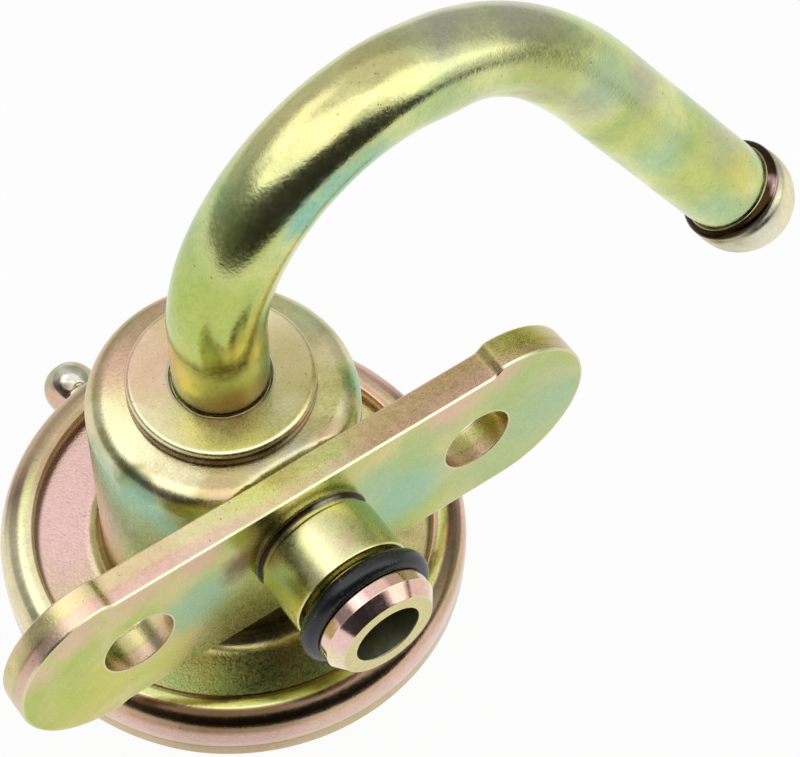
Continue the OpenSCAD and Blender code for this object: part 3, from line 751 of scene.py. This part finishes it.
pressed_flange = yellow_chromate(
    "yellow_chromate_pressed_flange", ("straw", "khaki"), rough=0.27, grain=0.032, grit=0.24, pits=0.35,
    patches=(
        ("lime", -11.6, 15, -14.6, 4.5, 70), ("pink", -11, 22, -15.3, 9, 95),
        ("pink", -6.5, 27.5, -15.3, 5, 90), ("pink", -14, 17, -15.3, 5, 60), ("sage", -8, -1, -15.3, 6, 90),
        ("lemon", -6.5, 0.4, -15.3, 2.5, 40), ("sage", -2, -3.4, -15.3, 4, 50),
        ("sage", -12.6, 1.8, -15.3, 3, 70), ("teal", 0, -3.6, -15.3, 5, 50), ("rose", 9, 26, -15.3, 9, 60),
        ("lemon", 15, 18, -15.3, 6, 50)),
    # The umber band round the flange from 16.9 to 19 mm is painted shadow in the gap under the rim's lip
    bands=(("umber", CAN_AXIS, ROUND, 16.9, 19, 0.2, 80),))
finish(can, drawn_can, pressed_flange)
finish_where(can, pressed_flange, lambda c: c.z < -15.0 and math.hypot(c.x, c.y - AXIS_Y) > CAN_R + 1.2)

rolled_rim = yellow_chromate(
    "yellow_chromate_rolled_rim", ("tan", "rose"), rough=0.19, grain=0.01,
    patches=(
        ("cream", -14.5, 22.5, -13.9, 5, 60), ("sage", -18, 17.8, -14, 4, 50), ("cream", -18.5, 13, -14, 5, 70),
        ("khaki", -7.5, 29, -13.9, 6, 60), ("bronze", -10, -4.3, -14.7, 8, 60),
        ("bronze", -14, -0.5, -14.7, 6, 50), ("khaki", -1.6, -7.5, -18.4, 6, 40),
        ("rose", 15.8, 1.6, -14.5, 5, 50), ("khaki", 12, -2.5, -15, 5, 50), ("teal", 4, 27, -24, 8, 50),
        ("lime", -12, 16, -25, 8, 50), ("lemon", 10, 6, -25, 8, 50)),
    bands=(
        ("pink", ORIGIN, UP, -17.4, -15.5, 0.3, 50), ("khaki", ORIGIN, UP, -19.6, -17.7, 0.25, 50),
        # The lemon band round the roll's top is a painted highlight, and the umber band outside it a painted
        # dark reflection
        ("lemon", CAN_AXIS, ROUND, 17.85, 18.6, 0.08, 95), ("umber", CAN_AXIS, ROUND, 18.72, 19.85, 0.12, 72)),
    over=(
        ("cream", -17, 18, -14.2, 9, 85), ("tan", -8, 30, -14, 9, 85), ("tan", 6, 31, -14, 9, 80),
        ("rose", 17, 20, -14.2, 9, 80), ("tan", 18.4, 8, -14.4, 6, 70)))
finish(cup, rolled_rim)

turned_collar = yellow_chromate(
    "yellow_chromate_turned_collar", ("cream", "straw"), rough=0.27, grain=0.006,
    patches=(
        ("rose", -4.3, 17.3, 8.6, 6, 70), ("khaki", 5.2, 9.2, 8.6, 5, 55), ("khaki", 6.1, 12.4, 8.6, 4, 50),
        ("cream", 1.4, 6.2, 8.6, 4, 60), ("cream", -4, 7.4, 8.6, 4.5, 80)),
    bands=(
        # The umber band up the collar's side is painted shade, lighter in the tan stripe across its middle
        ("umber", ORIGIN, UP, 6.7, 8.1, 0.05, 96), ("tan", ORIGIN, UP, 7.25, 7.75, 0.08, 60),
        ("dove", CAN_AXIS, ROUND, 4.2, 4.46, 0.03, 90)))
finish(collar, turned_collar)

sheared_edge = yellow_chromate(
    "yellow_chromate_sheared_edge", ("rose", "straw"), rough=0.27, grain=0.012, grit=0.22, patch=4.0,
    patches=(
        ("pink", 14.4, 2.4, 7.8, 7, 90), ("pink", 8.5, 2.4, 7.8, 5, 70), ("rose", 18.5, 2.2, 7.8, 3, 70),
        ("cream", 2, 2, 7.8, 5, 70), ("cream", -3.8, 2, 7.8, 5, 70), ("cream", -9, 2, 7.8, 4, 50),
        ("rose", -16, 2.4, 7.8, 6, 70), ("rose", -20, 1.5, 8, 4, 60), ("bronze", -25.6, 1, 5.3, 2.5, 70),
        ("brass", 22, 1.2, 8.3, 4.5, 70), ("olive", 25, 1, 6.5, 3, 50), ("khaki", -27, 1, 2, 4, 50),
        ("khaki", -16.6, 1.5, -3, 4, 80), ("khaki", 16.6, 1.5, -3, 4, 80), ("brass", 19.5, 1, -1, 3, 50)),
    bands=(("pink", ORIGIN, BACK, -0.2, 1.15, 0.15, 45), ("lemon", ORIGIN, BACK, 1.4, 3.2, 0.25, 35)),
    over=(("rose", 14.2, 1.8, 7.8, 6, 75), ("rose", 8.2, 1, 7.8, 5, 60), ("tan", -1.2, 2.9, 7.8, 2.5, 60)))
stamped_plate = yellow_chromate(
    "yellow_chromate_stamped_plate", ("straw", "lime"), rough=0.25, grain=0.005, pits=0.3,
    patches=(
        ("brass", -21, 0, -3, 6, 50), ("brass", -14, 0, -5, 4, 40), ("teal", -10.8, 0, 0.9, 5, 65),
        ("teal", 9.5, 0, -1.5, 6, 75), ("teal", 6.5, 0, 2.5, 4, 50), ("teal", 24, 0, -1, 6, 55),
        ("sage", 19, 0, -4, 8, 75), ("sage", 21, 0, 4, 7, 60), ("sage", 11, 0, 4, 5, 60),
        ("rose", -10.4, 0, 7.4, 3.5, 80), ("rose", -16, 0, 7.6, 4, 70), ("rose", -22, 0, 7, 3.5, 70),
        # The bronze patches at (-4.6, 0, 6.8) and (-6.4, 0, 2.8) and the umber at (-4.4, 0, 4.6) are painted
        # shadow and a painted dark reflection of the spigot on the plate's face
        ("rose", -26, 0, 3.5, 2.5, 60), ("bronze", -4.6, 0, 6.8, 3, 70), ("bronze", -6.4, 0, 2.8, 3.2, 85),
        ("umber", -4.4, 0, 4.6, 2, 50), ("rose", 14, 0, 7.4, 4, 80), ("rose", 19, 0, 8, 3, 60),
        ("straw", 13.3, 0, 2.4, 2.5, 60), ("straw", -13, 0, 4, 3, 60), ("olive", -8, 0, -4, 4, 35),
        ("lime", -24, 0, -1, 7, 50)))
punched_edge = yellow_chromate("yellow_chromate_punched_edge", ("tan", "rose"), rough=0.5, grain=0.01, wear_and_highlight=0.0)
finish(plate, stamped_plate, sheared_edge, punched_edge)
finish_where(plate, sheared_edge, lambda c: 0.22 < c.y < PLATE_T - 0.02)
finish_where(plate, punched_edge,
             lambda c: 0.001 < c.y < 0.14 and math.hypot(abs(c.x) - HOLE_X, c.z) < HOLE_R + 0.06)

in_bore = yellow_chromate("chromate_in_bore", ("dove", "olive"), rough=0.42, grain=0.01, grit=0.25, wear_and_highlight=0.0)
turned_spigot = yellow_chromate(
    "yellow_chromate_turned_spigot", ("straw", "lemon"), rough=0.27, grain=0.006, pits=0.25,
    patches=(
        # The cream and lemon patches along the barrel's upper side are a painted highlight
        ("cream", -0.5, -3, 5.4, 5, 90), ("lemon", -3, -2.5, 4.6, 3, 70), ("lime", -5.4, -3.4, 0.4, 3, 70),
        ("olive", -4.4, -4.6, 3.2, 1.8, 70), ("sage", 4.9, -4, 2.2, 4, 70), ("sage", 2.2, -4, 5, 2.5, 50),
        ("brass", -5, -5.8, 1.7, 2, 50), ("lime", -5, -2, -2, 3, 60), ("rose", 0.5, -4.4, 5.3, 1.3, 60),
        ("sage", 3.7, -1.4, 4, 2.6, 70)),
    bands=(("straw", ORIGIN, OUT, 10.7, 12, 0.05, 80), ("brass", ORIGIN, OUT, 5.8, 8.4, 0.1, 60)))
polished_land = yellow_chromate(
    "yellow_chromate_polished_land", ("pink", "rose"), rough=0.11, grain=0.002, pits=0.15,
    patches=(
        ("cream", -3.4, -10, -3.4, 3.6, 90), ("cream", 4.6, -9.6, 1, 2.6, 60),
        ("cream", -5.1, -9.6, -0.3, 2.6, 90)))
finish(spigot, turned_spigot, in_bore, polished_land)
finish_where(spigot, in_bore, lambda c: math.hypot(c.x, c.z) < SPIGOT_BORE_R + 0.02)
finish_where(spigot, polished_land, lambda c: 8.6 < -c.y < 10.77 and math.hypot(c.x, c.z) > 4.2)

bent_pipe = yellow_chromate(
    "yellow_chromate_bent_pipe", ("sage", "lemon"), rough=0.18, grain=0.011, grit=0.3,
    patches=(
        ("lime", -1.5, 10, 21, 9, 80), ("lemon", 0.3, 11, 26.7, 4, 50), ("brass", 0.5, 8.7, 16, 4, 50),
        # The olive, bronze and umber patches round the pipe's foot, below about 12 mm, are painted shade and a
        # painted dark reflection of the collar
        ("brass", -3.7, 11, 14.4, 4, 50), ("olive", 0, 12.7, 9.4, 9, 85), ("olive", 1.8, 9, 17.8, 2.6, 40),
        ("olive", 0.2, 8.7, 11.4, 2.6, 80), ("olive", -3, 10, 12, 2.4, 60), ("bronze", -2.5, 9.6, 9.4, 3.4, 85),
        ("bronze", 1.6, 9, 9.4, 2.8, 70), ("umber", -1, 8.8, 8.3, 2.4, 90), ("umber", -3.2, 10.4, 8.3, 2, 70),
        ("umber", 2, 9.2, 8.3, 2, 80), ("teal", 2.8, 9.8, 12.6, 2.2, 60), ("dove", 30, 10.7, 25.5, 4, 70),
        ("dove", 34, 9.6, 22, 4, 60), ("rose", 29.4, 11.2, 24.2, 2, 45), ("lime", 2, 10.5, 28, 4, 50),
        ("teal", 6.4, 9.2, 28.6, 3, 95), ("teal", 9.6, 9.4, 29.8, 3.2, 95), ("teal", 13.4, 9.6, 29.8, 3, 70),
        ("straw", 8, 14, 33.6, 7, 65), ("straw", 12.4, 13, 34.7, 6, 50), ("khaki", 17, 15, 35, 5, 60),
        ("dove", 24, 14.6, 33.6, 6, 85), ("dove", 31, 13.8, 30.4, 6, 85), ("lemon", 24.6, 11.8, 32, 4, 60),
        ("lime", 30, 10.7, 27, 6, 60), ("teal", 36.4, 9.6, 23.4, 3.6, 35), ("lemon", 41, 7.8, 17.6, 5, 60),
        ("lime", 44, 5.4, 11.6, 7, 55), ("teal", 39.6, 6.6, 14.2, 4, 45), ("brass", 47.3, 4.4, 8.6, 3.6, 45),
        ("lime", 37, 8, 17, 5, 50), ("dove", 40, 10.2, 20.6, 3.5, 70), ("teal", 44.6, 4.2, 6.4, 3.4, 35),
        ("dove", 47, 7, 11, 4, 50), ("rose", 20, 18, 28, 6, 50), ("teal", 5, 17, 22, 6, 40)),
    # The cream band at the bead's root is a painted highlight line
    bands=(("cream", BEAD_AT, BEAD_AXIS, -0.1, 0.2, 0.06, 80),),
    over=(
        # The olive and bronze laid over the pipe's foot are painted shade and a painted dark reflection of the
        # collar
        ("olive", -0.8, 9.2, 10, 5, 85), ("bronze", -1, 8.9, 8.9, 4.2, 80), ("teal", 2.7, 9.8, 12.2, 1.8, 50),
        ("brass", -3.9, 11.8, 12, 2, 50)))
# The upset ring's near-black umber is a painted dark reflection, and its pink patch a painted highlight
upset_ring = yellow_chromate(
    "yellow_chromate_upset_ring", ("umber", "umber"), rough=0.14, grain=0.012, grit=0.3, wear_and_highlight=0.1,
    patches=(("pink", 50.8, 3.3, 5.2, 1.6, 90),))
blunt_tip = yellow_chromate(
    "yellow_chromate_blunt_tip", ("dove", "cream"), rough=0.34, grain=0.02, grit=0.3,
    patches=(("pearl", 48.6, 1.6, 2.5, 2.6, 50),))
finish(pipe, bent_pipe, in_bore, upset_ring, blunt_tip)
bore_index = pipe.data.materials.find(in_bore.name)
for polygon in pipe.data.polygons[PIPE_OUTSIDE:]:
    polygon.material_index = bore_index


def past_root(c):
    """How far a place lies past the bead's root, along the pipe."""
    return (c - bead_root).dot(bead_t)


def off_axis(c):
    """Distance of a place from the axis of the pipe's end."""
    return (c - bead_root - bead_t * past_root(c)).length


finish_where(pipe, upset_ring, lambda c: 0.12 < past_root(c) < BEAD_RING and (c - bead_root).length > 4.2)
finish_where(pipe, blunt_tip, lambda c: past_root(c) > BEAD_RING and off_axis(c) > BORE_R + 0.05)

turned_nipple = yellow_chromate(
    "yellow_chromate_nipple", ("dove", "khaki"), rough=0.07, grain=0.001, pits=0.2,
    patches=(
        # On the ball, the pearl patch is a painted highlight and the umber patch a painted dark reflection
        ("rose", -3.3, 38.4, -25, 2.4, 85), ("pearl", -1.2, 39.5, -23.5, 1.6, 90),
        ("umber", -2.4, 38.9, -23.7, 1.3, 70)))
pale_braze = yellow_chromate("chromated_braze", ("straw", "khaki"), rough=0.35, grain=0.02, grit=0.35, wear_and_highlight=0.3)
# The spigot's braze fillet is painted dark umber as shade at the spigot's foot, with a dove patch as a painted
# highlight on its top
braze_painted_shade = yellow_chromate(
    "chromated_braze_painted_shade", ("umber", "umber"), rough=0.4, grain=0.02, grit=0.35, wear_and_highlight=0.2,
    patches=(("dove", 1.5, -0.3, 5, 1.6, 60), ("olive", -4, -0.3, -3, 3, 50)))
nipple_braze = yellow_chromate("chromated_braze_nipple", ("khaki", "bronze"), rough=0.35, grain=0.02, grit=0.35)
finish(nipple, turned_nipple)
finish(braze, pale_braze)
finish(spigot_fillet, braze_painted_shade)
finish(nipple_fillet, nipple_braze)


# Nitrile rubber, moulded: near-black and matt, with a soft sheen and pale dust on its skin
def nitrile_rubber():
    material, tree, shader, mm = new_material("nitrile_rubber_moulded")
    skin = mottled(tree, mm, 0.25, Detail=3.0)
    tint = add(tree, "ValToRGB", {"Fac": skin}, stops=[(0.0, "#0C0C0E"), (0.64, "#141417"), (0.7, "#3C3C3F"),
                                                       (0.78, "#8A8A88")])["Color"]
    surface(tree, shader, tint, ranged(tree, skin, 0.3, 0.7, 0.22, 0.38), skin, 0.008, 0.0)
    return material


# Bare steel, turned and stamped: grey, with the tool's fine rings round the upright axis and some oil stain
def bare_steel():
    material, tree, shader, mm = new_material("bare_steel_turned")
    x, y, z = add(tree, "SeparateXYZ", {0: mm})
    off = number(tree, "SUBTRACT", y, AXIS_Y)
    flat = add(tree, "CombineXYZ", {0: x, 1: off})[0]
    radius = vector(tree, "LENGTH", flat)
    rings = add(tree, "CombineXYZ", {0: radius, 2: z})[0]
    tool = mottled(tree, rings, 0.12, Detail=2.0)
    oil = mottled(tree, mm, 4.0, Detail=3.0)
    tint = add(tree, "ValToRGB", {"Fac": oil}, stops=[(0.35, "#8B8B8E"), (0.55, "#A3A3A4"),
                                                      (0.7, "#8F8A7C")])["Color"]
    surface(tree, shader, tint, ranged(tree, tool, 0.0, 1.0, 0.22, 0.46), tool, 0.006, 1.0)
    return material


# Drawn spring wire, oil tempered: dark blue-grey with pale rubbed streaks
def spring_wire():
    material, tree, shader, mm = new_material("spring_wire_oil_tempered")
    scale = mottled(tree, mm, 0.6, Detail=4.0, Roughness=0.65)
    tint = add(tree, "ValToRGB", {"Fac": scale}, stops=[(0.3, "#4A4B50"), (0.55, "#606167"),
                                                        (0.7, "#8A8A8C")])["Color"]
    surface(tree, shader, tint, ranged(tree, scale, 0.0, 1.0, 0.25, 0.5), scale, 0.01, 1.0)
    return material


# Rubberised polyester fabric, calendered: brown-black, the weave's 0.5 mm threads just showing through
def rubberised_fabric():
    material, tree, shader, mm = new_material("rubberised_fabric_calendered")
    warp, weft = (add(tree, "TexWave", {"Vector": mm, "Scale": 0.31 / 0.5, "Distortion": 0.3},
                      bands_direction=way)["Fac"] for way in "XY")
    weave = number(tree, "MULTIPLY", warp, weft)
    tint = add(tree, "ValToRGB", {"Fac": weave}, stops=[(0.0, "#2A221B"), (1.0, "#4A3C2E")])["Color"]
    surface(tree, shader, tint, ranged(tree, weave, 0.0, 1.0, 0.75, 0.55), weave, 0.03, 0.0)
    return material


rubber, steel, wire, fabric = nitrile_rubber(), bare_steel(), spring_wire(), rubberised_fabric()
finish(o_ring, rubber)
for name in ("valve_seat", "diaphragm_washer", "spring_cup", "stake_washer", "valve_holder", "valve_ball",
             "valve_disc", "ball_retainer", "spring_base"):
    finish(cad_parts[name], steel)
finish(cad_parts["ball_spring"], wire)
finish(main_spring, wire)
finish(diaphragm_rim, fabric)
finish(diaphragm_hub, fabric)


# Light, floor and camera

WHITE = linear("#FFFFFF")
FLOOR_GLOW = 0.95       # share of the floor that shows as plain white
TARGET = Vector((12, 8, 2)) * MM
LAMP_DISTANCE = 0.45    # of a softbox from the target, in metres, as its sizes are


def stage_material(name):
    """Empty material, for what stands round the piece."""
    material = bpy.data.materials.new(name)
    material.use_nodes = True
    material.node_tree.nodes.clear()
    return material, material.node_tree


def seen_or_reflected(tree):
    """The kinds of ray, and 1 for a ray from the camera or a reflection, else 0."""
    path = add(tree, "LightPath")
    return path, number(tree, "MAXIMUM", path["Is Camera Ray"], path["Is Glossy Ray"])


def studio():
    """White surroundings, and a pale floor under the cup."""
    scene = bpy.context.scene
    scene.view_settings.view_transform = "Standard"
    world = bpy.data.worlds.new("studio")
    scene.world = world
    world.use_nodes = True
    tree = world.node_tree
    tree.nodes.clear()
    path, seen = seen_or_reflected(tree)
    seen = number(tree, "MAXIMUM", seen, path["Is Transmission Ray"])
    soft = add(tree, "Background", {"Color": WHITE, "Strength": 0.5})[0]
    bright = add(tree, "Background", {"Color": WHITE, "Strength": 1.0})[0]
    add(tree, "OutputWorld", {"Surface": add(tree, "MixShader", {0: seen, 1: soft, 2: bright})[0]})

    bpy.ops.mesh.primitive_plane_add(size=4, location=(0, 0, CUP_FLOOR * MM))
    floor = bpy.context.object
    floor.name = "pale_floor"
    material, tree = stage_material("pale_floor")
    share = number(tree, "MULTIPLY", seen_or_reflected(tree)[1], FLOOR_GLOW)
    matt = add(tree, "BsdfDiffuse", {"Color": linear("#F4F4F4")})[0]
    glow = add(tree, "Emission", {"Color": WHITE, "Strength": 1.0})[0]
    add(tree, "OutputMaterial", {"Surface": add(tree, "MixShader", {0: share, 1: matt, 2: glow})[0]})
    finish(floor, material)


def direction(azimuth, elevation):
    """Unit vector: azimuth from -Y towards +X, elevation above the floor, in degrees."""
    a, e = math.radians(azimuth), math.radians(elevation)
    return Vector((math.sin(a) * math.cos(e), -math.cos(a) * math.cos(e), math.sin(e)))


def softbox(name, azimuth, elevation, width, height, level):
    """Area lamp that the metal sees as a panel of that brightness."""
    lamp = bpy.data.lights.new(name, "AREA")
    lamp.shape = "RECTANGLE"
    lamp.size, lamp.size_y = width, height
    lamp.energy = level * math.pi * width * height
    obj = bpy.data.objects.new(name, lamp)
    away = direction(azimuth, elevation)
    obj.location = TARGET + away * LAMP_DISTANCE
    obj.rotation_euler = away.to_track_quat("Z", "Y").to_euler()
    bpy.context.scene.collection.objects.link(obj)


# The unlit opening of the light tent: azimuth, its lower and upper edge in elevation, and how dark it is
OPENING = [(-180, -4, 46, 0.32), (-155, 1, 40, 0.38), (-135, 8, 38, 0.58), (-115, 11, 43, 0.7),
           (-95, 14, 44, 0.78), (-75, 9, 46, 0.88), (-55, 4, 48, 0.94), (-35, -2, 49, 0.97),
           (-15, -6, 48, 0.97), (5, -11, 46, 0.97), (15, -12, 43, 0.97), (25, -12, 34, 0.96),
           (31, -8, 23, 0.96), (36, -5, 14, 0.96), (41, -3.5, 9, 0.97), (45, -1.5, 6, 0.97), (49, 2, 8, 0.97),
           (54, 4.5, 10.5, 0.95), (60, 7, 13.5, 0.8), (66, 8, 16, 0.55),
           (75, 7, 26, 0.46), (85, 4, 40, 0.42), (95, 0, 46, 0.38), (125, -2, 48, 0.36), (180, -4, 46, 0.32)]
LOW_SOFT, HIGH_SOFT = 2.5, 4.5      # half width of its edges' fade, in degrees


def room_dark(azimuth, elevation):
    """Share of the light that the opening of the tent takes away in one direction."""
    azimuths, *columns = zip(*OPENING)
    low, high, depth = (np.interp(azimuth, azimuths, column) for column in columns)
    return (depth * ease(elevation, low - LOW_SOFT, low + LOW_SOFT)
            * ease(elevation, high + HIGH_SOFT, high - HIGH_SOFT))


def studio_room(radius=0.22, columns=180, rows=64, lowest=-30, span=96):
    """Shell that only reflections see, clear where the room is lit and black where it is not."""
    points, faces, dark = [], [], []
    for i in range(rows + 1):
        for k in range(columns):
            azimuth, elevation = -180 + 360 * k / columns, lowest + span * i / rows
            points.append(TARGET + direction(azimuth, elevation) * radius)
            dark.append(room_dark(azimuth, elevation))
    for i in range(rows):
        faces += quads(range(i * columns, (i + 1) * columns), range((i + 1) * columns, (i + 2) * columns))
    mesh = bpy.data.meshes.new("studio_room")
    mesh.from_pydata(points, [], faces)
    mesh.attributes.new("dark", "FLOAT", "POINT").data.foreach_set("value", dark)
    room = bpy.data.objects.new("studio_room", mesh)
    bpy.context.scene.collection.objects.link(room)
    room.visible_camera = room.visible_diffuse = room.visible_shadow = room.visible_transmission = False
    material, tree = stage_material("black_cloth")
    fade = add(tree, "Attribute", attribute_name="dark")["Fac"]
    clear = add(tree, "BsdfTransparent")[0]
    black = add(tree, "Emission", {"Color": linear("#0A0A0A"), "Strength": 1.0})[0]
    add(tree, "OutputMaterial", {"Surface": add(tree, "MixShader", {0: fade, 1: clear, 2: black})[0]})
    finish(room, material)


# Camera, fitted to measured points of the photograph
CAMERA_AZIMUTH, CAMERA_ELEVATION, CAMERA_ROLL = -35.4817, 56.5796, -0.2396
CAMERA_AIM = Vector((0, 12.7285, 8.5689))
CAMERA_BACK, CAMERA_RIGHT, CAMERA_DOWN = 249.361, 14.478, 0.354     # its place, from the aim
FOCAL_PIXELS, PICTURE_PIXELS, SENSOR = 3087.73, 800, 36


def photo_camera():
    """Camera at the photograph's angle and distance."""
    back = direction(CAMERA_AZIMUTH, CAMERA_ELEVATION)
    roll = math.radians(CAMERA_ROLL)
    right = (-back).cross(Vector((0, 0, 1))).normalized()
    down = (-back).cross(right)
    side = right * math.cos(roll) + down * math.sin(roll)
    drop = down * math.cos(roll) - right * math.sin(roll)
    camera = bpy.data.cameras.new("photo_camera")
    camera.sensor_width = SENSOR
    camera.lens = FOCAL_PIXELS / PICTURE_PIXELS * SENSOR
    camera.clip_start, camera.clip_end = 0.01, 20
    obj = bpy.data.objects.new("photo_camera", camera)
    obj.matrix_world = Matrix((side, -drop, back)).transposed().to_4x4()
    obj.location = (back * CAMERA_BACK + side * CAMERA_RIGHT + drop * CAMERA_DOWN + CAMERA_AIM) * MM
    bpy.context.scene.collection.objects.link(obj)
    bpy.context.scene.camera = obj


studio()
softbox("key_softbox", 49, 40, 0.22, 0.40, 0.75)
softbox("front_softbox", -45, 70, 0.62, 0.36, 0.7)
softbox("back_softbox", -150, 56, 0.30, 0.18, 0.6)
studio_room()
photo_camera()
